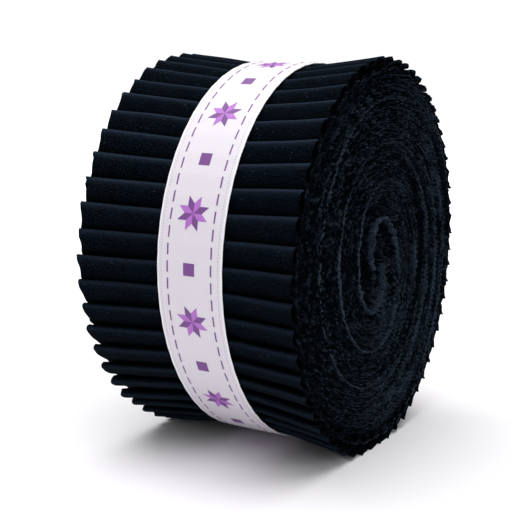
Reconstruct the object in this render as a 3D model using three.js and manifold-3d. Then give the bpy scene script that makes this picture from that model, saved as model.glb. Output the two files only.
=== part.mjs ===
// A roll of precut quilting strips. Each strip is folded once across its length, the folded strips are
// laid one over the next in steps, and the whole stack is rolled up from a fold at its middle. So every
// fold shows as a lip along the outside, and both ends show the stack as a coarse double spiral with two
// seams, round a core that is taller than it is wide. A ribbon closes it at the waist.
// Millimetres, +Z up. The roll's axis lies along X and the origin is under its middle, on the surface.
import * as THREE from "three";
import Module from "manifold-3d";
import { mergeVertices } from "three/addons/utils/BufferGeometryUtils.js";

const wasm = await Module();
wasm.setup();

// The roll
const STRIP_WIDTH = 63.5; // a 2.5 inch strip
const RIM_RADIUS = 55.4; // fold lips at both ends of the roll
const WAIST_RADIUS = 52.8; // fold lips where the ribbon draws them in
const OVAL = 1.3; // how far the hand-wound roll is from round
const FOLDS = 58;
const LIP_HEIGHT = 1.9; // a lip above the strip that it lies on
const LIP_UNEVENNESS = 0.22; // share of the lip's height that differs from fold to fold
const LIP_SWELL = 2.4; // radians a fold, of the two waves in the lips' heights
const LIP_DRIFT = 1.1;
const CROWDING = 9.2; // degrees by which the folds spread at the front and crowd at the back
const CROWDING_FROM = 105; // degrees from the top, where the folds lie furthest apart
const FIRST_FOLD = 3.4; // degrees from the top
const SKEW_AT_FRONT = 2.8; // degrees by which a fold turns between the far end and the near one
const SETTLE = 1.1; // how far the lowest lips are pressed flat by the roll's weight

// The ends
const TURN_PITCH = 23.6; // how far the coarse spiral goes out in a turn
const SEAMS = 2; // the stack doubled at the core makes two seams to a turn
const SEAM_AT_RIM = 254; // degrees from the top, where a seam comes out to the folds
const DISH = 2.2; // how far the core has slipped along the axis from the rim
const SEAM_RELIEF = 0.7; // how far a seam stands out, and the middle between two lies back
const CORE_REACH = 18; // how far out the core's tall shape goes
const CORE_NARROWING = 0.22;
const CORE_HEIGHTENING = 0.42;
const FACE_SPOKES = 64;
const FACE_RINGS = 22;
const FIRST_RING = 0.5; // of a ring's breadth, from the folds to the outermost ring

// The ribbon
const RIBBON_WIDTH = 19;
const RIBBON_THICKNESS = 0.9;
const RIBBON_CENTRE = 3; // the ribbon lies a little off the roll's middle
const RIBBON_STEPS = 96;
const RIBBON_LAP_FROM = 238; // degrees from the top, on the side away from the viewer
const RIBBON_LAP_TO = 262;
const RIBBON_LAP_RISE = 0.5;
const RIBBON_BED = 1; // how far the level waist goes on beyond each edge of the ribbon
const GAP = 0.35; // between the ribbon and the lips

const BLACK_COTTON = new THREE.MeshStandardMaterial({ color: 0x0c0f16, roughness: 0.95, metalness: 0 });
const WHITE_SATIN = new THREE.MeshStandardMaterial({ color: 0xe9e6ee, roughness: 0.45, metalness: 0 });

const HALF_WIDTH = STRIP_WIDTH / 2;
const RIM_SLIP = DISH / 2; // the core lies back by half the dish, and both rims forward
const AXIS_HEIGHT = RIM_RADIUS - SETTLE;
const WELD = 1e-4; // points nearer than this are one
const radians = THREE.MathUtils.degToRad;

// One fold's section, from its own valley to the next one: where the point lies along the pitch, and
// how far below the circle of lips it is, as a share of the lip's height.
const FOLD_SECTION = [
  { along: 0.0, drop: 1.0 },
  { along: 0.01, drop: 0.42 },
  { along: 0.06, drop: 0.08 },
  { along: 0.17, drop: 0.0 },
  { along: 0.56, drop: 0.32 },
];

// Where the lips' circle changes along the axis: flared at the ends, level under the ribbon.
const STATIONS = [
  { x: RIM_SLIP - HALF_WIDTH, flare: 1.0 },
  { x: RIM_SLIP - HALF_WIDTH * 0.66, flare: 0.52 },
  { x: RIBBON_CENTRE - RIBBON_WIDTH / 2 - RIBBON_BED, flare: 0.0 },
  { x: RIBBON_CENTRE + RIBBON_WIDTH / 2 + RIBBON_BED, flare: 0.0 },
  { x: RIM_SLIP + HALF_WIDTH * 0.72, flare: 0.5 },
  { x: RIM_SLIP + HALF_WIDTH, flare: 1.0 },
];

// A point at this angle from the top, turning towards -Y, at a radius from the roll's axis.
function pointAt(x, degrees, radius) {
  const angle = radians(degrees);
  return new THREE.Vector3(x, -radius * Math.sin(angle), AXIS_HEIGHT + radius * Math.cos(angle));
}

function ovalAt(degrees) {
  return OVAL * Math.sin(radians(2 * degrees));
}

// The angle of a fold's valley at a place along the axis.
function foldAngle(fold, x) {
  const even = FIRST_FOLD + (360 * fold) / FOLDS;
  const crowded = even + CROWDING * Math.sin(radians(even - CROWDING_FROM));
  const skew = SKEW_AT_FRONT * 0.5 * (1 - Math.cos(radians(even)));
  return crowded - (skew * (x - RIM_SLIP)) / STRIP_WIDTH;
}

function lipHeight(fold) {
  return LIP_HEIGHT * (1 + LIP_UNEVENNESS * Math.sin(LIP_SWELL * fold) * Math.cos(LIP_DRIFT * fold));
}

// How far the wound stack has slipped along the axis at this radius.
function slip(radius) {
  const share = radius / RIM_RADIUS;
  return DISH * share * share - RIM_SLIP;
}

// How far the stack's edge stands out at a place on an end face: most at the two seams of the spiral.
function relief(degrees, radius) {
  const turns = (degrees - SEAM_AT_RIM) / 360 - (RIM_RADIUS - LIP_HEIGHT - radius) / TURN_PITCH;
  const fade = Math.sin((Math.PI * radius) / RIM_RADIUS);
  return SEAM_RELIEF * fade * Math.cos(2 * Math.PI * SEAMS * turns);
}

// A point of the end face that looks along +X where outward is 1, and along -X where it is -1.
function facePoint(outward, degrees, radius) {
  const x = outward * (HALF_WIDTH + relief(degrees, radius)) + slip(radius);
  const point = pointAt(x, degrees, radius);
  const near = Math.exp(-((radius / CORE_REACH) ** 2));
  point.y *= 1 - CORE_NARROWING * near;
  point.z = AXIS_HEIGHT + (point.z - AXIS_HEIGHT) * (1 + CORE_HEIGHTENING * near);
  return point;
}

// The outline of the roll at one station, with the points of every fold.
function foldRing({ x, flare }) {
  const lips = THREE.MathUtils.lerp(WAIST_RADIUS, RIM_RADIUS, flare);
  const ring = [];
  for (let fold = 0; fold < FOLDS; fold++) {
    const from = foldAngle(fold, x);
    const pitch = foldAngle(fold + 1, x) - from;
    for (const { along, drop } of FOLD_SECTION) {
      const degrees = from + pitch * along;
      const radius = lips + ovalAt(degrees) - drop * lipHeight(fold);
      ring.push(pointAt(x, degrees, radius));
    }
  }
  return ring;
}

// Rings of an end face, from just inside the folds to the core.
function faceRings(outward) {
  const rings = [];
  for (let step = 0; step < FACE_RINGS; step++) {
    const share = 1 - (step + FIRST_RING) / FACE_RINGS;
    const ring = [];
    for (let spoke = 0; spoke < FACE_SPOKES; spoke++) {
      const degrees = foldAngle(0, RIM_SLIP + outward * HALF_WIDTH) + (360 * spoke) / FACE_SPOKES;
      const outside = RIM_RADIUS - LIP_HEIGHT + ovalAt(degrees);
      ring.push(facePoint(outward, degrees, outside * share));
    }
    rings.push(ring);
  }
  return rings;
}

// Collects triangles between closed rings of points and turns them into one geometry.
class Skin {
  constructor() {
    this.positions = [];
  }

  triangle(a, b, c) {
    for (const point of [a, b, c]) this.positions.push(point.x, point.y, point.z);
  }

  // Joins two rings that turn the same way and start together, whatever their numbers of points.
  join(ringA, ringB) {
    let a = 0;
    let b = 0;
    while (a < ringA.length || b < ringB.length) {
      const pointA = ringA[a % ringA.length];
      const pointB = ringB[b % ringB.length];
      const aheadA = (a + 1) / ringA.length;
      const aheadB = (b + 1) / ringB.length;
      if (b === ringB.length || (a < ringA.length && aheadA <= aheadB)) {
        this.triangle(pointA, ringA[(a + 1) % ringA.length], pointB);
        a += 1;
      } else {
        this.triangle(pointA, ringB[(b + 1) % ringB.length], pointB);
        b += 1;
      }
    }
  }

  close(ring, centre) {
    ring.forEach((point, i) => this.triangle(point, ring[(i + 1) % ring.length], centre));
  }

  geometry() {
    const made = new THREE.BufferGeometry();
    made.setAttribute("position", new THREE.Float32BufferAttribute(this.positions, 3));
    made.computeVertexNormals();
    return made;
  }
}

// A closed geometry as a solid that can be cut.
function solidOf(geometry) {
  const merged = mergeVertices(geometry.deleteAttribute("normal"), WELD);
  const vertProperties = merged.getAttribute("position").array;
  const triVerts = new Uint32Array(merged.index.array);
  return new wasm.Manifold(new wasm.Mesh({ numProp: 3, vertProperties, triVerts }));
}

function geometryOf(solid) {
  const mesh = solid.getMesh();
  const made = new THREE.BufferGeometry();
  made.setAttribute("position", new THREE.Float32BufferAttribute(mesh.vertProperties, 3));
  made.setIndex(Array.from(mesh.triVerts));
  made.computeVertexNormals();
  return made;
}

// What lies below the surface is pressed away, which leaves the lowest lips flat.
function pressedFlat(geometry) {
  const depth = 2 * SETTLE;
  const below = wasm.Manifold.cube([2 * STRIP_WIDTH, 2 * RIM_RADIUS, depth], true);
  return geometryOf(solidOf(geometry).subtract(below.translate([0, 0, -depth / 2])));
}

function stripRoll() {
  const skin = new Skin();
  const body = STATIONS.map(foldRing);
  const farEnd = faceRings(-1).reverse();
  const nearEnd = faceRings(1);
  const rings = [...farEnd, ...body, ...nearEnd];
  skin.close([...rings[0]].reverse(), facePoint(-1, 0, 0));
  for (let i = 0; i + 1 < rings.length; i++) skin.join(rings[i], rings[i + 1]);
  skin.close(rings[rings.length - 1], facePoint(1, 0, 0));
  return pressedFlat(skin.geometry());
}

function ribbonRise(degrees) {
  return degrees >= RIBBON_LAP_FROM && degrees <= RIBBON_LAP_TO ? RIBBON_LAP_RISE : 0;
}

function wrapBand() {
  const skin = new Skin();
  const edge = RIBBON_WIDTH / 2;
  const corners = [
    { x: RIBBON_CENTRE - edge, above: GAP, rises: 0 },
    { x: RIBBON_CENTRE - edge, above: GAP + RIBBON_THICKNESS, rises: 1 },
    { x: RIBBON_CENTRE + edge, above: GAP + RIBBON_THICKNESS, rises: 1 },
    { x: RIBBON_CENTRE + edge, above: GAP, rises: 0 },
  ];
  const rings = corners.map(({ x, above, rises }) => {
    const ring = [];
    for (let step = 0; step < RIBBON_STEPS; step++) {
      const degrees = (360 * step) / RIBBON_STEPS;
      const radius = WAIST_RADIUS + ovalAt(degrees) + above + rises * ribbonRise(degrees);
      ring.push(pointAt(x, degrees, radius));
    }
    return ring;
  });
  rings.forEach((ring, i) => skin.join(ring, rings[(i + 1) % rings.length]));
  return skin.geometry();
}

function part(name, geometry, material) {
  const mesh = new THREE.Mesh(geometry, material);
  mesh.name = name;
  return mesh;
}

const roll = new THREE.Group();
roll.add(part("strip_roll", stripRoll(), BLACK_COTTON));
roll.add(part("wrap_band", wrapBand(), WHITE_SATIN));

export default roll;
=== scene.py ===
import math

import bpy
import numpy as np
from mathutils import Matrix, Vector


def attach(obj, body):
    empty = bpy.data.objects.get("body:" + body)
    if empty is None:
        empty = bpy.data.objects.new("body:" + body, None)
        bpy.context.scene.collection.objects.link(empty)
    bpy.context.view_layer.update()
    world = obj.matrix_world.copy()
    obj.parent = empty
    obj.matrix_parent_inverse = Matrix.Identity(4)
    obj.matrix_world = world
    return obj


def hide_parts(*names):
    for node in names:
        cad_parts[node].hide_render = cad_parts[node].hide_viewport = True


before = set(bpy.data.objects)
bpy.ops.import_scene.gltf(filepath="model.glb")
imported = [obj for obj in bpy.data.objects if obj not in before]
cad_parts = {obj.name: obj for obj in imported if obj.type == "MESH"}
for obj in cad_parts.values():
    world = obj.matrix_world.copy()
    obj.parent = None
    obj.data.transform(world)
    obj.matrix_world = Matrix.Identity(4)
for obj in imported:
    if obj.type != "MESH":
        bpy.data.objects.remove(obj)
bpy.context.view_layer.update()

# The camera stands in front of the roll and a little above its axis, far enough away to flatten
# the perspective, and sees the folds on the left and one end of the roll on the right.
CAMERA_PLACE = (0.1484, -0.2805, 0.1016)
CAMERA_YAW, CAMERA_PITCH, CAMERA_ROLL = -0.508, -0.156, 0.032
FOCAL_PIXELS, PICTURE_PIXELS, SENSOR = 1100, 512, 36.0

ahead = Vector((math.sin(CAMERA_YAW) * math.cos(CAMERA_PITCH),
                math.cos(CAMERA_YAW) * math.cos(CAMERA_PITCH), math.sin(CAMERA_PITCH)))
level = ahead.cross(Vector((0, 0, 1))).normalized()
upright = level.cross(ahead)
across = level * math.cos(CAMERA_ROLL) + upright * math.sin(CAMERA_ROLL)
upward = upright * math.cos(CAMERA_ROLL) - level * math.sin(CAMERA_ROLL)
turn = Matrix((across, upward, -ahead)).transposed()

bpy.ops.object.camera_add(location=CAMERA_PLACE, rotation=turn.to_euler())
camera = bpy.context.object
camera.data.sensor_width = SENSOR
camera.data.lens = SENSOR * FOCAL_PIXELS / PICTURE_PIXELS
camera.data.clip_start, camera.data.clip_end = 0.01, 20.0
bpy.context.scene.camera = camera
bpy.context.scene.view_settings.view_transform = "Standard"

# A white studio: a pale table that runs off to white, a white room, a large soft lamp overhead
# and a weaker one beside the camera.
TABLE_TONE = (0.935, 0.92, 0.95, 1.0)
ROOM_TONE = (1.0, 1.0, 1.0, 1.0)
ROOM_LIGHT = 0.36
ROOM_BEHIND = 1.05
TABLE_SIZE = 8.0
TABLE_ROUGHNESS = 0.9
FADE_FROM, FADE_TO = 0.12, 0.75
# Each lamp's name, its place, what it points at, its size in metres and its power in watts.
LAMPS = [
    ("overhead", (-0.05, -0.05, 0.75), (0, 0, 0.05), 0.9, 8.1),
    ("beside_camera", (0.70, -0.45, 0.50), (0.02, 0, 0.05), 0.5, 1.6),
]

for name, place, aim, size, watts in LAMPS:
    towards = (Vector(aim) - Vector(place)).to_track_quat("-Z", "Y")
    bpy.ops.object.light_add(type="AREA", location=place, rotation=towards.to_euler())
    lamp = bpy.context.object
    lamp.name = name
    lamp.data.shape = "RECTANGLE"
    lamp.data.size, lamp.data.size_y = size, size
    lamp.data.energy = watts

bpy.ops.mesh.primitive_plane_add(size=TABLE_SIZE, location=(0, 0, 0))
table = bpy.context.object
table.name = "table"
table_paint = bpy.data.materials.new("pale_table")
table_paint.use_nodes = True
table_nodes, table_links = table_paint.node_tree.nodes, table_paint.node_tree.links
table_nodes["Principled BSDF"].inputs["Base Color"].default_value = TABLE_TONE
table_nodes["Principled BSDF"].inputs["Roughness"].default_value = TABLE_ROUGHNESS
away = table_nodes.new("ShaderNodeVectorMath")
away.operation = "LENGTH"
table_links.new(table_nodes.new("ShaderNodeTexCoord").outputs["Object"], away.inputs[0])
fade = table_nodes.new("ShaderNodeMapRange")
fade.interpolation_type = "SMOOTHSTEP"
fade.inputs["From Min"].default_value, fade.inputs["From Max"].default_value = FADE_FROM, FADE_TO
table_links.new(away.outputs["Value"], fade.inputs["Value"])
table_seen = table_nodes.new("ShaderNodeLightPath")
shown = table_nodes.new("ShaderNodeMath")
shown.operation = "MULTIPLY"
table_links.new(fade.outputs[0], shown.inputs[0])
table_links.new(table_seen.outputs["Is Camera Ray"], shown.inputs[1])
table_links.new(shown.outputs[0], table_nodes["Principled BSDF"].inputs["Emission Strength"])
table_nodes["Principled BSDF"].inputs["Emission Color"].default_value = ROOM_TONE
table.data.materials.append(table_paint)

room = bpy.data.worlds.new("white_room")
bpy.context.scene.world = room
room.use_nodes = True
room_nodes, room_links = room.node_tree.nodes, room.node_tree.links
room_nodes["Background"].inputs["Color"].default_value = ROOM_TONE
room_nodes["Background"].inputs["Strength"].default_value = ROOM_LIGHT
behind = room_nodes.new("ShaderNodeBackground")
behind.inputs["Color"].default_value = ROOM_TONE
behind.inputs["Strength"].default_value = ROOM_BEHIND
seen = room_nodes.new("ShaderNodeLightPath")
either = room_nodes.new("ShaderNodeMixShader")
room_links.new(seen.outputs["Is Camera Ray"], either.inputs[0])
room_links.new(room_nodes["Background"].outputs[0], either.inputs[1])
room_links.new(behind.outputs[0], either.inputs[2])
room_links.new(either.outputs[0], room_nodes["World Output"].inputs["Surface"])

# The lips are the folds of fifty-eight black cotton strips, 63.5 mm wide. Each strip is folded once
# across its length and laid a step further round than the one below it, so its fold stands out as a
# rounded lip, drawn in at the waist by the ribbon and curled open at both pinked ends.
MM = 0.001
STRIP_WIDTH = 63.5
STRIP_SHIFT = 1.1
RIM_RADIUS, WAIST_RADIUS = 55.4, 52.8
AXIS_HEIGHT = 54.3
OVAL = 1.3
FOLDS = 58
LIP_UNEVENNESS = 0.22
CROWDING, CROWDING_FROM = 9.2, 105
FIRST_FOLD, SKEW_AT_FRONT = 3.4, 2.8
WAIST_FROM, WAIST_TO = -7.5, 13.5
# The ribbon holds the lips at the waist: their freedom there, and how fast it comes back.
FREE_LEAST, FREE_AGAIN = 0.25, 2.2
CLOTH_THICKNESS = 0.28
# How strong the painted highlight along a fold's crest is at the side of the roll, and how much
# painted light from above adds to it at the top.
CREST_HIGHLIGHT_AT_SIDE, CREST_HIGHLIGHT_ON_TOP = 0.75, 1.4
# The back, from 215 degrees round, where folds lie flatter, and beneath, from 75, where they are
# deeper: where each starts, and how fast it rises and falls again.
BACK, BENEATH = (215, 2.6), (75, 2.7)
FLATTER_AT_BACK, FLATTER_WHEN_HELD, DEEPER_BENEATH = 0.42, 0.1, 0.8
FAR_TOP, FAR_TOP_SPAN = 330, 45
# A lip's slow waves along the axis: sideways as a share of the pitch, and outwards in millimetres,
# each with its length over two pi.
SWAY, SWAY_LONG, SWAY_FINE, SWAY_SHORT = 0.2, 13, 0.06, 5.1
SWAY_LESS_BENEATH, SWAY_LESS_FAR_TOP = 0.1, 0.75
SWELL, SWELL_LONG, SWELL_FINE, SWELL_SHORT = 0.1, 9.5, 0.03, 4.1
STAND = 0.1
# At its pinked ends a strip opens out a little, and its cut edge is scalloped and uneven.
OPENS_FROM, OUTER_OPENS, INNER_OPENS = 0.86, -0.08, 0.35
END_SCALLOP, END_FROM, END_UNEVENNESS = 0.6, 0.9, 0.12
HIDDEN_SET_BACK, INNER_SET_BACK, INNER_WAVES = 0.5, 0.6, 4.2
BASE_DEPTH = 2.2
# How far apart, in metres, two strips lie in the weave, so that no two look alike.
UV_STEP = 0.013
# One strip's section round its fold, from where the outer layer comes out from under the next lip
# to where the inner layer goes in again: along the pitch, depth below the lips in millimetres, and
# the light painted on the cloth there: a painted highlight on the crest above nought, and below
# nought painted shade, down to the deepest black, in the crevices and on the inner layer.
FOLD_PATH = np.array([
    (1.55, 3.15, -1), (1.28, 2.6, -1), (1.08, 2.08, -1), (0.95, 1.78, -0.9), (0.8, 1.36, -0.5),
    (0.62, 0.86, -0.15), (0.43, 0.42, 0), (0.26, 0.13, 0.06), (0.12, 0.0, 0.35), (0.03, 0.05, 1),
    (-0.03, 0.24, 0.9), (-0.06, 0.52, 0.1), (-0.055, 0.85, -0.5), (-0.02, 1.15, -1),
    (0.05, 1.38, -1), (0.2, 1.52, -1), (0.45, 1.7, -1), (0.8, 2.25, -1), (1.2, 2.95, -1),
    (1.5, 3.5, -1),
])
INNER_FROM = 12
# Stations along a strip, as shares of half its width.
STATIONS = np.array([
    -1.0, -0.985, -0.95, -0.89, -0.8, -0.7, -0.6, -0.5, -0.4, -0.31, -0.25, -0.12, 0.02, 0.16,
    0.30, 0.37, 0.44, 0.53, 0.62, 0.72, 0.81, 0.89, 0.95, 0.985, 1.0,
])
# How far the roll is flared out, from none at the waist to all at the rims, at places along X.
FLARE = np.array([
    (-32.0, 1.0), (-19.5, 0.52), (WAIST_FROM, 0.0), (WAIST_TO, 0.0), (23.9, 0.5), (33.0, 1.0),
])

chance = np.random.default_rng(58)


def on_roll(x, degrees, radius):
    """Points in metres at these places along the axis, angles from the top and radii."""
    angle = np.radians(degrees)
    x, angle, radius = np.broadcast_arrays(x, angle, radius)
    height = np.maximum(AXIS_HEIGHT + radius * np.cos(angle), 0.02)
    return np.stack([x, -radius * np.sin(angle), height], axis=-1) * MM


def fold_angle(fold, x):
    """How far round from the top this fold's crest lies, at this place along the axis."""
    even = FIRST_FOLD + 360 * fold / FOLDS
    crowded = even + CROWDING * math.sin(math.radians(even - CROWDING_FROM))
    skew = SKEW_AT_FRONT * 0.5 * (1 - math.cos(math.radians(even)))
    return crowded - skew * (x - STRIP_SHIFT) / STRIP_WIDTH


def grid_faces(rows, columns, first=0):
    """Faces between rows of points, each row with as many columns."""
    corner = first + np.arange(rows - 1)[:, None] * columns + np.arange(columns - 1)
    round_it = [corner, corner + 1, corner + columns + 1, corner + columns]
    return np.stack(round_it, axis=-1).reshape(-1, 4)


def cloth(name, points, faces, uvs=None, fray_and_painted_light=None):
    """A mesh object of these points, with a UV place and, for each point, how frayed the cloth is
    and how much light or shade is painted on it.
    """
    mesh = bpy.data.meshes.new(name)
    mesh.from_pydata(points.reshape(-1, 3).tolist(), [], faces.tolist())
    if uvs is not None:
        layer = mesh.uv_layers.new(name="cloth")
        loops = np.zeros(len(mesh.loops), dtype=np.int32)
        mesh.loops.foreach_get("vertex_index", loops)
        layer.data.foreach_set("uv", uvs.reshape(-1, 2)[loops].ravel())
    if fray_and_painted_light is not None:
        mesh.attributes.new("fray_and_painted_light", "FLOAT", "POINT").data.foreach_set("value", fray_and_painted_light.ravel())
    piece = bpy.data.objects.new(name, mesh)
    bpy.context.scene.collection.objects.link(piece)
    bpy.ops.object.select_all(action="DESELECT")
    piece.select_set(True)
    bpy.context.view_layer.objects.active = piece
    return piece


def apply_all(piece):
    bpy.context.view_layer.objects.active = piece
    for modifier in list(piece.modifiers):
        bpy.ops.object.modifier_apply(modifier=modifier.name)


def rises_and_falls(degrees, start, pace):
    """From nought at the start up to one and back to nought, in 360 / pace degrees."""
    return 0.5 - 0.5 * math.cos(math.radians(np.clip((degrees - start) * pace, 0, 360)))


def folded_strip(fold):
    """The points of one strip round its fold, a row for each station along the axis."""
    x = STRIP_SHIFT + STATIONS * STRIP_WIDTH / 2
    flare = np.interp(x, FLARE[:, 0], FLARE[:, 1])
    start = np.array([fold_angle(fold, at) for at in x])
    pitch = np.array([fold_angle(fold + 1, at) for at in x]) - start
    along, depth = FOLD_PATH[:, 0], FOLD_PATH[:, 1]
    number = np.arange(len(along))
    at_back, beneath = rises_and_falls(start[0], *BACK), rises_and_falls(start[0], *BENEATH)
    far_top = np.clip(1 - abs(start[0] - FAR_TOP) / FAR_TOP_SPAN, 0, 1)
    uneven = math.sin(2.4 * fold) * math.cos(1.1 * fold)
    lip = 1 + LIP_UNEVENNESS * (1 - far_top) * uneven
    phase = chance.uniform(0, 2 * math.pi, 4)
    sway = (SWAY - SWAY_LESS_BENEATH * beneath) * np.sin(x / SWAY_LONG + phase[0])
    sway = sway + SWAY_FINE * np.sin(x / SWAY_SHORT + phase[1])
    sway = sway * (1 - SWAY_LESS_FAR_TOP * far_top)
    swell = SWELL * np.sin(x / SWELL_LONG + phase[2])
    swell = swell + SWELL_FINE * np.sin(x / SWELL_SHORT + phase[3])
    free = np.clip(flare * FREE_AGAIN, FREE_LEAST, 1)
    degrees = start[:, None] + pitch[:, None] * along + (sway * free)[:, None]
    opened = np.clip((np.abs(STATIONS) - OPENS_FROM) / (1 - OPENS_FROM), 0, 1) ** 1.5
    spread = opened[:, None] * np.where(number < INNER_FROM, OUTER_OPENS, INNER_OPENS)
    stand = chance.normal(0, STAND) * (1 - far_top)
    lowered = 1 - FLATTER_WHEN_HELD * (1 - free) - FLATTER_AT_BACK * at_back * free
    lowered = lowered + DEEPER_BENEATH * beneath
    deep = depth * lip * lowered[:, None] + spread
    deep = np.where(depth > BASE_DEPTH, np.maximum(deep, depth), deep)
    lips = WAIST_RADIUS + (RIM_RADIUS - WAIST_RADIUS) * flare + (swell + stand) * free
    radius = lips[:, None] + OVAL * np.sin(np.radians(2 * degrees)) - deep
    scallop = END_SCALLOP * np.sin(math.pi * np.clip(along, 0, 1)) ** 0.8
    inward = scallop + np.where(along > 1, HIDDEN_SET_BACK, 0)
    inward = inward + chance.normal(0, END_UNEVENNESS, len(along))
    set_back = INNER_SET_BACK * (1 + np.abs(np.sin(along * INNER_WAVES + phase[0])))
    inward = np.where(number > INNER_FROM, set_back, inward)
    near_end = np.clip((np.abs(STATIONS) - END_FROM) / (1 - END_FROM), 0, 1)[:, None]
    slide = -np.sign(STATIONS)[:, None] * near_end * inward
    return on_roll(x[:, None] + slide, degrees, radius)


strips, strip_faces, strip_uvs = [], [], []
for fold in range(FOLDS):
    rows = folded_strip(fold)
    strip_faces.append(grid_faces(len(STATIONS), len(FOLD_PATH), first=fold * rows[..., 0].size))
    step = np.linalg.norm(np.diff(rows, axis=1), axis=-1).mean(0)
    length = np.concatenate([[0], np.cumsum(step)])
    uv = np.stack(np.broadcast_arrays(rows[..., 0], length + fold * UV_STEP), axis=-1)
    strips.append(rows)
    strip_uvs.append(uv)
# The crests get a painted highlight, stronger where the fold faces up as if lit from above, and the
# crevices and inner layers get painted shade.
upward_share = np.cos(np.radians([fold_angle(fold, 0) for fold in range(FOLDS)]))
crest_highlight = (CREST_HIGHLIGHT_AT_SIDE + CREST_HIGHLIGHT_ON_TOP * np.maximum(0, upward_share))[:, None]
painted_highlight_and_shade = np.where(FOLD_PATH[:, 2] > 0, FOLD_PATH[:, 2] * crest_highlight, FOLD_PATH[:, 2])
painted_highlight_and_shade = np.broadcast_to(painted_highlight_and_shade[:, None, :], (FOLDS, len(STATIONS), len(FOLD_PATH)))
outward = np.concatenate(strip_faces)[:, ::-1]
fold_lips = cloth("fold_lips", np.array(strips), outward, np.array(strip_uvs), painted_highlight_and_shade)
thicken = fold_lips.modifiers.new("cloth_thickness", "SOLIDIFY")
thicken.thickness, thicken.offset = CLOTH_THICKNESS * MM, -1
apply_all(fold_lips)
bpy.ops.object.shade_smooth_by_angle(angle=math.radians(50))

# Black quilting cotton: a plain weave of blue-black yarn, matt and a little fuzzy, with a faint
# slant in the nap and specks of lint.
# COTTON_BLACK is the deepest black, used for painted shade and for darker runs and a darker ring on
# the cut edges.
COTTON_BLACK = (0.0001, 0.0002, 0.0004, 1.0)
COTTON_DARK = (0.0002, 0.0005, 0.0012, 1.0)
COTTON_LIGHT = (0.0045, 0.0081, 0.0132, 1.0)
LINT_TONE = (0.020, 0.025, 0.034, 1.0)
YARN, SLANT = 0.00034, 0.00062
NAP_SCALE, PATCH_SCALE = 2400.0, 160.0
WEAVE_SHOWS, SLANT_SHOWS, WEAVE_STANDS = 0.05, 0.07, 0.35
DARK_AT, LIGHT_AT = 0.47, 0.59
LINT_SCALE, LINT_SIZE = 1400.0, 0.3
FUZZ_FROM, FUZZ_TO = 0.3, 0.6
NAP_DEPTH = 0.00025
SHEEN_TINT = (0.62, 0.80, 1.0, 1.0)


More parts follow.
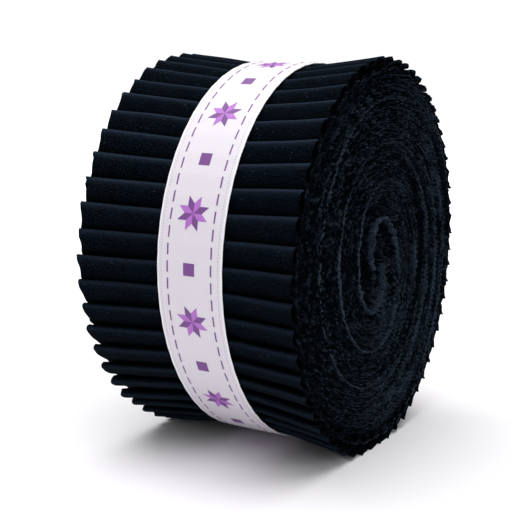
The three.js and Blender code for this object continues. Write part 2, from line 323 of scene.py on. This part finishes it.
def black_cotton(name, by_uv, mottle, lint, fray_and_highlight_tone=None, fuzz_scale=1500.0):
    """The cotton's material: mottle is the nap's share of the grain, lint the share of specks.

    by_uv lays the weave along the strip, else it goes through the roll. The fray_and_painted_light
    attribute turns the cloth to the pale tone above nought: fray on the cut edges, painted light on
    the folds' crests and in bands on the cut edges. Below nought it turns it to the deepest black:
    painted shade in the folds' crevices and between the bands, and darker runs and a darker ring on
    the cut edges.
    """
    paint = bpy.data.materials.new(name)
    paint.use_nodes = True
    nodes, links = paint.node_tree.nodes, paint.node_tree.links
    shader = nodes["Principled BSDF"]
    place = nodes.new("ShaderNodeTexCoord").outputs["UV" if by_uv else "Object"]

    def node(kind, **values):
        made = nodes.new(kind)
        for key, value in values.items():
            if hasattr(made, key):
                setattr(made, key, value)
            else:
                made.inputs[key.replace("_", " ")].default_value = value
        return made

    def sums(operation, a, b=None):
        made = node("ShaderNodeMath", operation=operation)
        for socket, value in zip(made.inputs, (a, b)):
            if isinstance(value, (int, float)):
                socket.default_value = value
            elif value is not None:
                links.new(value, socket)
        return made.outputs[0]

    split = node("ShaderNodeSeparateXYZ")
    links.new(place, split.inputs[0])
    turns = 2 * math.pi / (2 * YARN)
    warp = sums("SINE", sums("MULTIPLY", split.outputs[0], turns))
    weft = sums("SINE", sums("MULTIPLY", split.outputs[1], turns))
    woven = sums("MULTIPLY", warp, weft)
    nap = node("ShaderNodeTexNoise", Scale=NAP_SCALE, Detail=1.0, Roughness=0.6)
    links.new(place, nap.inputs["Vector"])
    patches = node("ShaderNodeTexNoise", Scale=PATCH_SCALE, Detail=2.0, Roughness=0.5)
    links.new(place, patches.inputs["Vector"])
    patchy = sums("MULTIPLY", patches.outputs[0], 1 - mottle)
    grain = sums("ADD", sums("MULTIPLY", nap.outputs[0], mottle), patchy)
    slanting = sums("ADD", split.outputs[0], split.outputs[1])
    slanting = sums("SINE", sums("MULTIPLY", slanting, 2 * math.pi / SLANT))
    slant = sums("MULTIPLY", slanting, SLANT_SHOWS)
    grain = sums("ADD", grain, sums("ADD", sums("MULTIPLY", woven, WEAVE_SHOWS), slant))
    tones = node("ShaderNodeValToRGB")
    dark_end, light_end = tones.color_ramp.elements
    dark_end.position, light_end.position = DARK_AT, LIGHT_AT
    dark_end.color, light_end.color = COTTON_DARK, COTTON_LIGHT
    links.new(grain, tones.inputs[0])
    specks = node("ShaderNodeTexVoronoi", Scale=LINT_SCALE)
    links.new(place, specks.inputs["Vector"])
    near = sums("LESS_THAN", specks.outputs["Distance"], LINT_SIZE)
    rare_split = node("ShaderNodeSeparateColor")
    links.new(specks.outputs["Color"], rare_split.inputs[0])
    rare = sums("GREATER_THAN", rare_split.outputs[0], 1 - lint)
    mixed = node("ShaderNodeMix", data_type="RGBA")
    links.new(sums("MULTIPLY", near, rare), mixed.inputs[0])
    links.new(tones.outputs[0], mixed.inputs[6])
    mixed.inputs[7].default_value = LINT_TONE
    cloth_tone = mixed.outputs[2]
    # Pale above nought for fray and painted light, deepest black below nought for painted shade.
    if fray_and_highlight_tone:
        fray_and_highlight_mix = node("ShaderNodeMix", data_type="RGBA")
        fuzz = node("ShaderNodeTexNoise", Scale=fuzz_scale, Detail=2.0)
        links.new(nodes.new("ShaderNodeTexCoord").outputs["Object"], fuzz.inputs["Vector"])
        often = node("ShaderNodeMapRange")
        often.inputs["From Min"].default_value = FUZZ_FROM
        often.inputs["From Max"].default_value = FUZZ_TO
        links.new(fuzz.outputs[0], often.inputs["Value"])
        fray_and_painted_light = node("ShaderNodeAttribute", attribute_name="fray_and_painted_light").outputs["Fac"]
        in_specks = sums("MULTIPLY", often.outputs[0], sums("MINIMUM", fray_and_painted_light, 1.0))
        all_over = sums("MAXIMUM", sums("SUBTRACT", fray_and_painted_light, 1.0), 0.0)
        links.new(sums("MAXIMUM", sums("ADD", in_specks, all_over), 0.0), fray_and_highlight_mix.inputs[0])
        deepest = node("ShaderNodeMix", data_type="RGBA")
        links.new(sums("MULTIPLY", sums("MINIMUM", fray_and_painted_light, 0.0), -1.0), deepest.inputs[0])
        links.new(cloth_tone, deepest.inputs[6])
        deepest.inputs[7].default_value = COTTON_BLACK
        cloth_tone = deepest.outputs[2]
        links.new(cloth_tone, fray_and_highlight_mix.inputs[6])
        fray_and_highlight_mix.inputs[7].default_value = fray_and_highlight_tone
        cloth_tone = fray_and_highlight_mix.outputs[2]
    links.new(cloth_tone, shader.inputs["Base Color"])
    relief = sums("ADD", sums("MULTIPLY", woven, WEAVE_STANDS), nap.outputs[0])
    bump = node("ShaderNodeBump", Strength=0.5, Distance=NAP_DEPTH)
    links.new(relief, bump.inputs["Height"])
    links.new(bump.outputs[0], shader.inputs["Normal"])
    shader.inputs["Roughness"].default_value = 0.92
    shader.inputs["Specular IOR Level"].default_value = 0.01
    shader.inputs["Sheen Weight"].default_value = 0.012
    shader.inputs["Sheen Roughness"].default_value = 0.3
    shader.inputs["Sheen Tint"].default_value = SHEEN_TINT
    return paint


# The tone of the painted highlight on the folds' crests.
CREST_HIGHLIGHT_TONE = (0.013, 0.0205, 0.033, 1.0)
strip_cotton = black_cotton("strip_cotton", True, 0.9, 0.035, CREST_HIGHLIGHT_TONE, fuzz_scale=4200.0)
fold_lips.data.materials.append(strip_cotton)
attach(fold_lips, "root")
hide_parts("strip_roll")

# The two ends show the cut edges of the wound strips. The stack was folded back at the core, so two
# of it lie between one turn and the next, and each seam between them shows as a paler line. Every
# edge is pinked and frayed, paler at the tips of its teeth, and no two teeth stand quite alike.
FACE_RADIUS = 52.2
TURN_PITCH = 23.6
LAYERS = 43
LAYER_SPACING = TURN_PITCH / LAYERS
SEAM_LAYERS = (0, 22)
SEAM_FROM = 254.0
TOOTH_PITCH, TOOTH_DEPTH = 1.5, 0.5
TOOTH_STEPS = 2
# How much the teeth vary: how tall they stand, and how far they lean over, less so on a seam.
TALL, LEAN, SEAM_LEAN = 0.14, 0.12, 0.04
CORE_COARSE, SEAM_COARSE = 1.1, 0.5
EDGE_THICKNESS = 0.2
LAYER_DEPTH = 3.6
DISH = 2.2
STEP_AT_SEAM, SEAM_STAND = 0.55, 0.12
SEAM_ZIGZAG, PINKING = 0.24, 3.0
# A layer's slow drifts, each with the length between its knots and its size in millimetres.
LONG_DRIFT, SHORT_DRIFT, SEAM_DRIFT = (22, 0.15), (2.4, 0.3), (2.4, 0.08)
LONG_WANDER, SHORT_WANDER = (9, 0.07), (3, 0.1)
# A groove runs round near the rim, on the viewer's side of the roll.
HOLLOW_AT, HOLLOW_DEPTH, HOLLOW_WIDTH = 49.6, 1.5, 1.7
# Round the back the outer layers reach further out, under the flatter lips: how far, the middle of
# that part in degrees, how far it reaches to each side, and over how much it fades away.
PUSHED_OUT, PUSHED_AT, PUSHED_SPAN, PUSHED_FADE = 1.9, 275, 95, 25
# The core is looser, taller than it is wide, sunk a little, and set aside from the roll's axis.
CORE_RADIUS, LOOSENS_OVER = 15.0, 2.5
CORE_ASIDE = (1.9, -2.3)
CORE_SPAN, CORE_NARROWER, CORE_TALLER = 18.0, 0.22, 0.42
CORE_SINK, CORE_GAP, CORE_GAP_AT, CORE_GAP_WIDTH = 0.7, 1.3, 0.62, 1.3
OVAL_LOST, OVAL_LOST_OVER = 0.6, 12.0
INMOST = 1.6
# The fray: its tone, which the pale painted bands on the right share, how pale it makes the teeth
# and the seams, and how it gathers in short runs and in long streaks, each with the length between
# its knots and its size.
FRAY_TONE = (0.050, 0.073, 0.106, 1.0)
FRAY_TIP, FRAY_SEAM = 0.75, 1.05
# How pale the tips stay at the least and how much paler at the right, how much of it the tooth
# valleys lose, and how much the groove loses, left dark as painted shade.
TIP_LEAST, TIP_AT_RIGHT, VALLEY_BARE, HOLLOW_PAINTED_SHADE = 0.75, 0.4, 0.4, 0.7
SEAM_LEAST, SEAM_AT_LEFT, SEAM_IN_CORE = 0.2, 0.8, 0.4
FRAY_RUNS, FRAY_STREAKS = (0.8, 0.75), (9, 0.4)
# How much of it there is to start with, and what the sides, the top, the bottom and the core add.
FRAY_LEAST = -0.14
FRAY_AT_LEFT, FRAY_AT_RIGHT, FRAY_UPRIGHT, FRAY_BENEATH = 0.05, 0.4, 0.2, 0.14
FRAY_LESS_IN_CORE = 0.25
# The two sides of the near end, in degrees from the top. The teeth are more even on the right,
# where bands of painted light and shade follow the turns outside a narrow ring that is painted
# dark.
LEFT_SIDE, RIGHT_SIDE = 98, 262
EVEN_AT_RIGHT = 0.6
STEP_LIGHT_AND_SHADE, STEP_SHADE_FLOOR = 0.6, 0.35
MOAT_RADIUS, MOAT_WIDTH, MOAT_TONE = 31.0, 1.9, 0.9


def slipped(radius):
    """How far the wound stack has slipped along the axis at this radius."""
    return DISH * ((radius / RIM_RADIUS) ** 2 - 0.5)


def drift(length, knot, size):
    """A slow random wander along a layer, with a new value every knot millimetres."""
    knots = chance.normal(0, size, int(length[-1] / knot) + 3)
    return np.interp(length, np.arange(len(knots)) * knot, knots)


def hump(distance, width):
    """A smooth hump: one where the distance is nought, and almost gone at twice the width."""
    return np.exp(-((distance / width) ** 2))


def face_point(x, degrees, radius):
    """A point of the end face, where the core is taller than it is wide."""
    near_core = hump(radius, CORE_SPAN)
    still_oval = 1 - (1 - hump(RIM_RADIUS - radius, OVAL_LOST_OVER)) * OVAL_LOST
    rounded = radius + OVAL * np.sin(np.radians(2 * degrees)) * still_oval
    from_back = np.abs((degrees - PUSHED_AT + 180) % 360 - 180)
    pushed_out = np.clip((PUSHED_SPAN - from_back) / PUSHED_FADE, 0, 1)
    rounded = rounded + PUSHED_OUT * pushed_out * (radius / FACE_RADIUS) ** 8
    angle = np.radians(degrees)
    x, angle, rounded, near_core = np.broadcast_arrays(x, angle, rounded, near_core)
    aside = 1 - (np.minimum(rounded, FACE_RADIUS) / FACE_RADIUS) ** 4
    wide, tall = rounded * (1 - CORE_NARROWER * near_core), rounded * (1 + CORE_TALLER * near_core)
    y = -wide * np.sin(angle) + CORE_ASIDE[0] * aside
    z = AXIS_HEIGHT + tall * np.cos(angle) + CORE_ASIDE[1] * aside
    return np.stack([x, y, z], axis=-1) * MM


def layer_edge(number, out):
    """Points, sections by four, of one layer's pinked edge from the rim to the core."""
    # The layer's way in, from its start at the rim.
    start = SEAM_FROM + 360 * number / LAYERS
    on_seam = number in SEAM_LAYERS
    to_core = number % 2 == 0 or on_seam
    last = INMOST + chance.uniform(0, 2.5) if to_core else CORE_RADIUS - chance.uniform(0, 2)
    whole = math.pi * (FACE_RADIUS ** 2 - last ** 2) / TURN_PITCH
    length = np.arange(chance.uniform(0, TOOTH_PITCH), whole, TOOTH_PITCH / TOOTH_STEPS)
    radius = np.sqrt(FACE_RADIUS ** 2 - TURN_PITCH * length / math.pi)
    degrees = start + 360 * (FACE_RADIUS - radius) / TURN_PITCH
    through = ((radius - FACE_RADIUS) * 360 / TURN_PITCH + degrees - SEAM_FROM) / 180
    share = through - np.floor(through)
    left, right = np.radians(degrees - LEFT_SIDE), np.radians(degrees - RIGHT_SIDE)
    on_left, on_right = 0.5 + 0.5 * np.cos(left), 0.5 + 0.5 * np.cos(right)
    hollow = hump(radius - HOLLOW_AT, HOLLOW_WIDTH) * np.clip(1.5 * on_left, 0, 1)

    # The teeth, and how high each point of the edge stands.
    count = len(length)
    place = np.arange(count) % TOOTH_STEPS
    valley = 1 - np.abs(place / (TOOTH_STEPS / 2) - 1)
    tooth = np.arange(count) // TOOTH_STEPS
    tall = chance.normal(0, TALL, tooth[-1] + 1)[tooth]
    lean = chance.normal(0, SEAM_LEAN if on_seam else LEAN, tooth[-1] + 1)[tooth] * (1 - valley)
    in_core = np.clip((CORE_RADIUS + 2 - radius) / 4, 0, 1)
    coarse = 1 + (SEAM_COARSE if on_seam else CORE_COARSE) * in_core
    loose = np.clip((CORE_RADIUS - radius) / LOOSENS_OVER, 0, 1)
    gap = CORE_GAP * hump(radius - CORE_GAP_AT * CORE_RADIUS, CORE_GAP_WIDTH)
    height = -valley * TOOTH_DEPTH * coarse * (0.5 if on_seam else 1) + tall * coarse
    height = height + drift(length, *LONG_DRIFT)
    uneven = drift(length, *(SEAM_DRIFT if on_seam else SHORT_DRIFT))
    height = height + uneven * (1 - EVEN_AT_RIGHT * on_right)
    height = height + STEP_AT_SEAM * (0.5 - share) - HOLLOW_DEPTH * hollow
    height = height + (SEAM_STAND if on_seam else -CORE_SINK * loose - gap)
    fade = np.clip((FACE_RADIUS - radius) / 3, 0, 1)
    top = out * STRIP_WIDTH / 2 + slipped(radius) + out * height * (0.5 + 0.5 * fade)
    base = out * (STRIP_WIDTH / 2 - LAYER_DEPTH) + slipped(radius)

    # The edge wanders a little to both sides, and a seam zigzags with the pinking below it.
    wander = drift(length, *LONG_WANDER) + drift(length, *SHORT_WANDER)
    if on_seam:
        wander = wander + SEAM_ZIGZAG * np.sin(2 * math.pi * length / PINKING)
    half, thin = LAYER_SPACING * (0.5 + 0.5 * loose), EDGE_THICKNESS / 2
    outer, inner = thin + wander + lean, -thin + wander + lean
    across_edge = [(base, half), (top, outer), (top, inner), (base, -half)]
    points = [face_point(x, degrees, radius + aside) for x, aside in across_edge]
    uv = [np.stack([length * MM, x * MM], axis=-1) for x, _ in across_edge]

    # How frayed it is: in runs and streaks, more at the right and along the seams, with painted
    # shade in the groove and bands of painted light and shade on the right.
    often = drift(length, *FRAY_RUNS) * (1 - EVEN_AT_RIGHT * on_right)
    often = often + drift(length, *FRAY_STREAKS) * on_right
    upright = np.cos(np.radians(degrees))
    often = often + FRAY_AT_RIGHT * on_right + FRAY_AT_LEFT * on_left + FRAY_LEAST
    often = often + FRAY_UPRIGHT * upright ** 2 + FRAY_BENEATH * (0.5 - 0.5 * upright) ** 2
    often = often - FRAY_LESS_IN_CORE * loose
    tips = (TIP_LEAST + TIP_AT_RIGHT * on_right) * (1 - VALLEY_BARE * valley)
    wear_and_painted_light = FRAY_TIP * tips * np.clip(often, 0, 1)
    # Runs where it falls below nought turn darker, and the groove is left dark as painted shade.
    wear_and_painted_light = (wear_and_painted_light + np.clip(often, -1, 0) * (0 if on_seam else 1)) * (1 - HOLLOW_PAINTED_SHADE * hollow)
    if on_seam:
        inside = np.clip((HOLLOW_AT - 2 - radius) / 4, 0, 1)
        near_core = np.clip((CORE_RADIUS + 3 - radius) / 3, 0, 1)
        shown = SEAM_LEAST + np.maximum(SEAM_AT_LEFT * on_left ** 4, SEAM_IN_CORE * near_core)
        wear_and_painted_light = wear_and_painted_light + FRAY_SEAM * inside * shown
    # On the right, pale bands and dark lines between them are painted light and shade of the seam
    # steps, and a narrow ring is painted darker.
    outside_moat = np.clip((radius - MOAT_RADIUS) / 3, 0, 1)
    step_light_and_shade = (np.sin(2 * math.pi * share) ** 2 - STEP_SHADE_FLOOR) * outside_moat
    moat = MOAT_TONE * hump(radius - MOAT_RADIUS, MOAT_WIDTH)
    wear_and_painted_light = wear_and_painted_light + on_right ** 3 * (STEP_LIGHT_AND_SHADE * step_light_and_shade - moat)
    wear_and_painted_light = np.stack([0 * wear_and_painted_light, wear_and_painted_light, wear_and_painted_light, 0 * wear_and_painted_light], axis=1)
    return np.stack(points, axis=1), np.stack(uv, axis=1), wear_and_painted_light


def end_layers(name, out):
    """All the layers' edges at one end as one piece: out is 1 at the near end, -1 at the far."""
    points, faces, uvs, wear_and_painted_light, first = [], [], [], [], 0
    for number in range(LAYERS):
        rows, uv, fray_and_painted_light = layer_edge(number, out)
        made = grid_faces(rows.shape[0], 4, first)
        faces.append(made[:, ::-1] if out > 0 else made)
        points.append(rows.reshape(-1, 3))
        uvs.append(uv.reshape(-1, 2))
        wear_and_painted_light.append(fray_and_painted_light.ravel())
        first += rows.shape[0] * 4
    return cloth(name, *(np.concatenate(each) for each in (points, faces, uvs, wear_and_painted_light)))


edge_cotton = black_cotton("edge_cotton", True, 0.7, 0.03, FRAY_TONE, fuzz_scale=2600.0)
for name, out in (("layers_near", 1), ("layers_far", -1)):
    layers = end_layers(name, out)
    layers.data.materials.append(edge_cotton)
    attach(layers, "root")
    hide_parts("strip_roll")

# Behind the lips and the cut edges lies the wound middle of the roll, packed tight: fluted where
# the strips' inner ends lie on it, drawn in under the ribbon, and a little rounded at both ends.
MIDDLE_RADIUS, MIDDLE_WAIST = 52.4, 50.4
MIDDLE_HALF = 25.5
FLUTE_DEPTH, FLUTE_STEPS = 0.5, 6
# The middle's outline from one end to the other: place along the axis, and share of its radius.
MIDDLE_OUTLINE = [
    (-1.0, 0.03), (-0.98, 0.5), (-0.97, 0.9), (-0.95, 0.98), (-0.88, 1.0), (-0.6, 1.0), (-0.3, 1.0),
    (0.1, 1.0), (0.5, 1.0), (0.7, 1.0), (0.88, 1.0), (0.95, 0.98), (0.97, 0.9), (0.98, 0.5),
    (1.0, 0.03),
]
fluted_rows = []
flute = np.arange(FOLDS * FLUTE_STEPS)
for along, share in MIDDLE_OUTLINE:
    x = STRIP_SHIFT + along * MIDDLE_HALF
    flared = np.interp(x, FLARE[:, 0], FLARE[:, 1])
    degrees = np.array([fold_angle(each / FLUTE_STEPS, x) for each in flute])
    radius = MIDDLE_WAIST + (MIDDLE_RADIUS - MIDDLE_WAIST) * flared
    radius = radius + OVAL * np.sin(np.radians(2 * degrees))
    radius = radius - FLUTE_DEPTH * (flute % FLUTE_STEPS) / FLUTE_STEPS
    fluted_rows.append(on_roll(x, degrees, share * radius))
around = len(flute)
corner = np.arange(len(MIDDLE_OUTLINE) - 1)[:, None] * around + flute
beside = corner - flute + (flute + 1) % around
middle_faces = np.stack([corner, corner + around, beside + around, beside], axis=-1)
wound_middle = cloth("wound_middle", np.array(fluted_rows), middle_faces.reshape(-1, 4))
bpy.ops.object.mode_set(mode="EDIT")
bpy.ops.mesh.select_all(action="SELECT")
bpy.ops.mesh.fill_holes(sides=0)
bpy.ops.mesh.normals_make_consistent(inside=False)
bpy.ops.object.mode_set(mode="OBJECT")
bpy.ops.object.shade_smooth_by_angle(angle=math.radians(40))
wound_middle.data.materials.append(black_cotton("inner_cotton", False, 0.6, 0.0))
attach(wound_middle, "root")
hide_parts("strip_roll")

# A white satin ribbon, 19 mm wide with a woven edge, is drawn round the waist and stuck down over
# its own end on the side away from the viewer.
RIBBON_WIDTH, RIBBON_CENTRE = 19.0, 3.0
RIBBON_RADIUS = WAIST_RADIUS + 0.62
RIBBON_THICKNESS = 0.22
RIBBON_START, RIBBON_OVERLAP = 238.0, 24.0
RIBBON_ROWS = 300
# Where the ribbon climbs over its own start, over how many degrees, and the air between the two.
LAP_FROM, LAP_OVER, LAP_AIR = 356, 6, 0.1
# It follows the folds below it a little, and both its edges bend in.
FOLDS_SHOW, EDGE_DROP = 0.05, 0.12
ACROSS = np.array([-1.0, -0.94, -0.8, -0.5, -0.2, 0.2, 0.5, 0.8, 0.94, 1.0])


def on_ribbon(across_it, along_it, proud=0.0):
    """Points of the ribbon or just above it, for millimetres across it and along it."""
    travel = np.degrees(along_it / RIBBON_RADIUS)
    angle = RIBBON_START + travel
    over = np.clip((travel - LAP_FROM) / LAP_OVER, 0, 1)
    lapped = over * over * (3 - 2 * over) * (RIBBON_THICKNESS + LAP_AIR)
    radius = RIBBON_RADIUS + lapped + OVAL * np.sin(np.radians(2 * angle)) + proud
    radius = radius + FOLDS_SHOW * np.sin(np.radians(angle * FOLDS))
    radius = radius - EDGE_DROP * np.abs(across_it / (RIBBON_WIDTH / 2)) ** 6
    return on_roll(RIBBON_CENTRE + across_it, angle, radius)


ribbon_length = math.radians(360 + RIBBON_OVERLAP) * RIBBON_RADIUS
across_ribbon, along_ribbon = np.broadcast_arrays(
    ACROSS * RIBBON_WIDTH / 2, np.linspace(0, ribbon_length, RIBBON_ROWS)[:, None])
uv = np.stack([(across_ribbon + RIBBON_WIDTH / 2) * MM, along_ribbon * MM], axis=-1)
ribbon_faces = grid_faces(RIBBON_ROWS, len(ACROSS))[:, ::-1]
ribbon = cloth("waist_ribbon", on_ribbon(across_ribbon, along_ribbon), ribbon_faces, uv)
thicken = ribbon.modifiers.new("ribbon_thickness", "SOLIDIFY")
thicken.thickness, thicken.offset = RIBBON_THICKNESS * MM, -1
apply_all(ribbon)
bpy.ops.object.shade_smooth_by_angle(angle=math.radians(50))

SATIN = (0.715, 0.68, 0.735, 1.0)
SATIN_DULL = (0.675, 0.64, 0.695, 1.0)
SATIN_EDGE = (0.86, 0.84, 0.88, 1.0)
SATIN_DOT = (0.52, 0.50, 0.55, 1.0)
EDGE_WIDTH, DOTS_IN, DOT_WIDTH, DOT_PITCH = 0.4, 1.15, 0.15, 0.8
SATIN_YARN = 0.22
# The satin's slubs: how fine they are across and along it, and how far they dull it.
SLUBS, SLUBS_DULL = (3200, 500, 1), 0.9
YARN_STANDS, EDGE_STANDS, DOTS_SINK = 0.25, 1.2, 1.5
satin = bpy.data.materials.new("white_satin_weave")
satin.use_nodes = True
nodes, links = satin.node_tree.nodes, satin.node_tree.links
shader = nodes["Principled BSDF"]
split = nodes.new("ShaderNodeSeparateXYZ")
links.new(nodes.new("ShaderNodeTexCoord").outputs["UV"], split.inputs[0])


def satin_sum(operation, *values):
    made = nodes.new("ShaderNodeMath")
    made.operation = operation
    for socket, value in zip(made.inputs, values):
        if isinstance(value, (int, float)):
            socket.default_value = value
        else:
            links.new(value, socket)
    return made.outputs[0]


def satin_mix(share, under, over):
    made = nodes.new("ShaderNodeMix")
    made.data_type = "RGBA"
    links.new(share, made.inputs[0])
    for socket, value in ((made.inputs[6], under), (made.inputs[7], over)):
        if isinstance(value, tuple):
            socket.default_value = value
        else:
            links.new(value, socket)
    return made.outputs[2]


off_middle = satin_sum("ABSOLUTE", satin_sum("SUBTRACT", split.outputs[0], RIBBON_WIDTH * MM / 2))
from_edge = satin_sum("SUBTRACT", RIBBON_WIDTH * MM / 2, off_middle)
on_edge = satin_sum("LESS_THAN", from_edge, EDGE_WIDTH * MM)
off_line = satin_sum("ABSOLUTE", satin_sum("SUBTRACT", from_edge, DOTS_IN * MM))
on_line = satin_sum("LESS_THAN", off_line, DOT_WIDTH * MM)
in_pitches = satin_sum("DIVIDE", split.outputs[1], DOT_PITCH * MM)
dash = satin_sum("LESS_THAN", satin_sum("FRACT", in_pitches), 0.5)
dotted = satin_sum("MULTIPLY", on_line, dash)
ripple = nodes.new("ShaderNodeTexNoise")
ripple.inputs["Scale"].default_value, ripple.inputs["Detail"].default_value = 1.0, 3.0
stretch = nodes.new("ShaderNodeMapping")
stretch.inputs["Scale"].default_value = SLUBS
links.new(nodes.new("ShaderNodeTexCoord").outputs["UV"], stretch.inputs[0])
links.new(stretch.outputs[0], ripple.inputs["Vector"])
tone = satin_mix(satin_sum("MULTIPLY", ripple.outputs[0], SLUBS_DULL), SATIN, SATIN_DULL)
tone = satin_mix(dotted, tone, SATIN_DOT)
tone = satin_mix(on_edge, tone, SATIN_EDGE)
links.new(tone, shader.inputs["Base Color"])
in_yarns = satin_sum("MULTIPLY", split.outputs[1], 2 * math.pi / (SATIN_YARN * MM))
yarn_rows = satin_sum("MULTIPLY", satin_sum("SINE", in_yarns), YARN_STANDS)
raised = satin_sum("ADD", yarn_rows, ripple.outputs[0])
raised = satin_sum("ADD", raised, satin_sum("MULTIPLY", on_edge, EDGE_STANDS))
raised = satin_sum("SUBTRACT", raised, satin_sum("MULTIPLY", dotted, DOTS_SINK))
bump = nodes.new("ShaderNodeBump")
bump.inputs["Strength"].default_value, bump.inputs["Distance"].default_value = 0.35, 0.0001
links.new(raised, bump.inputs["Height"])
links.new(bump.outputs[0], shader.inputs["Normal"])
shader.inputs["Roughness"].default_value = 0.48
shader.inputs["Specular IOR Level"].default_value = 0.35
shader.inputs["Sheen Weight"].default_value = 0.1
ribbon.data.materials.append(satin)
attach(ribbon, "root")
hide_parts("wrap_band")

# The ribbon's print is a plain quilter's pattern in purple ink: an eight-pointed star of diamonds
# each 30 degrees, a small four-patch between two stars, and a running stitch along both sides.
MOTIF_STEP = 30.0
MOTIF_FROM = 14.0
STAR_POINT = 4.7
PATCH_POINT = 2.3
STITCH_LENGTH, STITCH_GAP, STITCH_WIDTH, STITCH_OFF_MIDDLE = 2.9, 1.5, 0.42, 6.6
# No motif lies in the first degrees beyond the lap, or in the last degrees of the ribbon.
CLEAR_OF_LAP, STAR_CLEAR, PATCH_CLEAR = 5, 6, 10
INK_PROUD = 0.03
INK_SPECKS, INK_PALER = 2600.0, 1.35
INK_PALE = (0.36, 0.125, 0.455, 1.0)
INK_DEEP = (0.145, 0.048, 0.205, 1.0)


def patch(corner, side_a, side_b, steps):
    """A four-sided patch as a grid, from one corner along two of its sides."""
    a, b = (np.linspace(0, 1, count + 1) for count in steps)
    return corner + a[:, None, None] * side_a + b[None, :, None] * side_b


def star_patches(middle, point, arms):
    """The diamonds of a star, each with the number of its ink."""
    side = point / (2 * math.cos(math.pi / arms))
    for arm in range(arms):
        one, two = (2 * math.pi * (arm + turn) / arms for turn in (0, 1))
        sides = [side * np.array([math.cos(a), math.sin(a)]) for a in (one, two)]
        yield patch(middle, sides[0], sides[1], (4, 4)), arm % 2


patches = []
first_star = MOTIF_FROM - RIBBON_START + 360
for turn_on in np.arange(0, 360 - 1, MOTIF_STEP):
    travel_at = (first_star + turn_on) % 360
    beyond_lap = travel_at > RIBBON_OVERLAP + CLEAR_OF_LAP
    along_at = math.radians(travel_at if beyond_lap else travel_at + 360) * RIBBON_RADIUS
    if beyond_lap or travel_at <= RIBBON_OVERLAP - STAR_CLEAR:
        patches += list(star_patches(np.array([0, along_at]), STAR_POINT, 8))
    between = along_at + math.radians(MOTIF_STEP / 2) * RIBBON_RADIUS
    if between < ribbon_length - math.radians(PATCH_CLEAR) * RIBBON_RADIUS:
        patch_cells = star_patches(np.array([0, between]), PATCH_POINT, 4)
        patches += [(cells, 1) for cells, _ in patch_cells]
stitch_from = math.radians(RIBBON_OVERLAP) * RIBBON_RADIUS + 1
stitch_to = ribbon_length - STITCH_LENGTH
stitch_across, stitch_along = np.array([STITCH_WIDTH, 0]), np.array([0, STITCH_LENGTH])
for along_at in np.arange(stitch_from, stitch_to, STITCH_LENGTH + STITCH_GAP):
    for across_at in (-STITCH_OFF_MIDDLE, STITCH_OFF_MIDDLE - STITCH_WIDTH):
        stitch_corner = np.array([across_at, along_at])
        patches.append((patch(stitch_corner, stitch_across, stitch_along, (1, 4)), 1))
ink_points, ink_faces, ink_tones, first = [], [], [], 0
for cells, tone_number in patches:
    made = grid_faces(cells.shape[0], cells.shape[1], first)
    ink_points.append(on_ribbon(cells[..., 0], cells[..., 1], INK_PROUD).reshape(-1, 3))
    ink_faces.append(made)
    ink_tones += [tone_number] * len(made)
    first += cells.shape[0] * cells.shape[1]
ribbon_print = cloth("ribbon_print", np.concatenate(ink_points), np.concatenate(ink_faces))
for name, tone_value in (("pale_ink", INK_PALE), ("deep_ink", INK_DEEP)):
    ink = bpy.data.materials.new(name)
    ink.use_nodes = True
    ink_shader = ink.node_tree.nodes["Principled BSDF"]
    cover = ink.node_tree.nodes.new("ShaderNodeTexNoise")
    cover.inputs["Scale"].default_value = INK_SPECKS
    cover_at = ink.node_tree.nodes.new("ShaderNodeTexCoord").outputs["Object"]
    ink.node_tree.links.new(cover_at, cover.inputs["Vector"])
    wear_and_painted_light = ink.node_tree.nodes.new("ShaderNodeMix")
    wear_and_painted_light.data_type = "RGBA"
    wear_and_painted_light.inputs[6].default_value = tone_value
    wear_and_painted_light.inputs[7].default_value = tuple(INK_PALER * part for part in tone_value[:3]) + (1.0,)
    ink.node_tree.links.new(cover.outputs[0], wear_and_painted_light.inputs[0])
    ink.node_tree.links.new(wear_and_painted_light.outputs[2], ink_shader.inputs["Base Color"])
    ink_shader.inputs["Roughness"].default_value = 0.6
    ribbon_print.data.materials.append(ink)
ribbon_print.data.polygons.foreach_set("material_index", np.array(ink_tones, dtype=np.int32))
bpy.ops.object.shade_smooth()
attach(ribbon_print, "root")
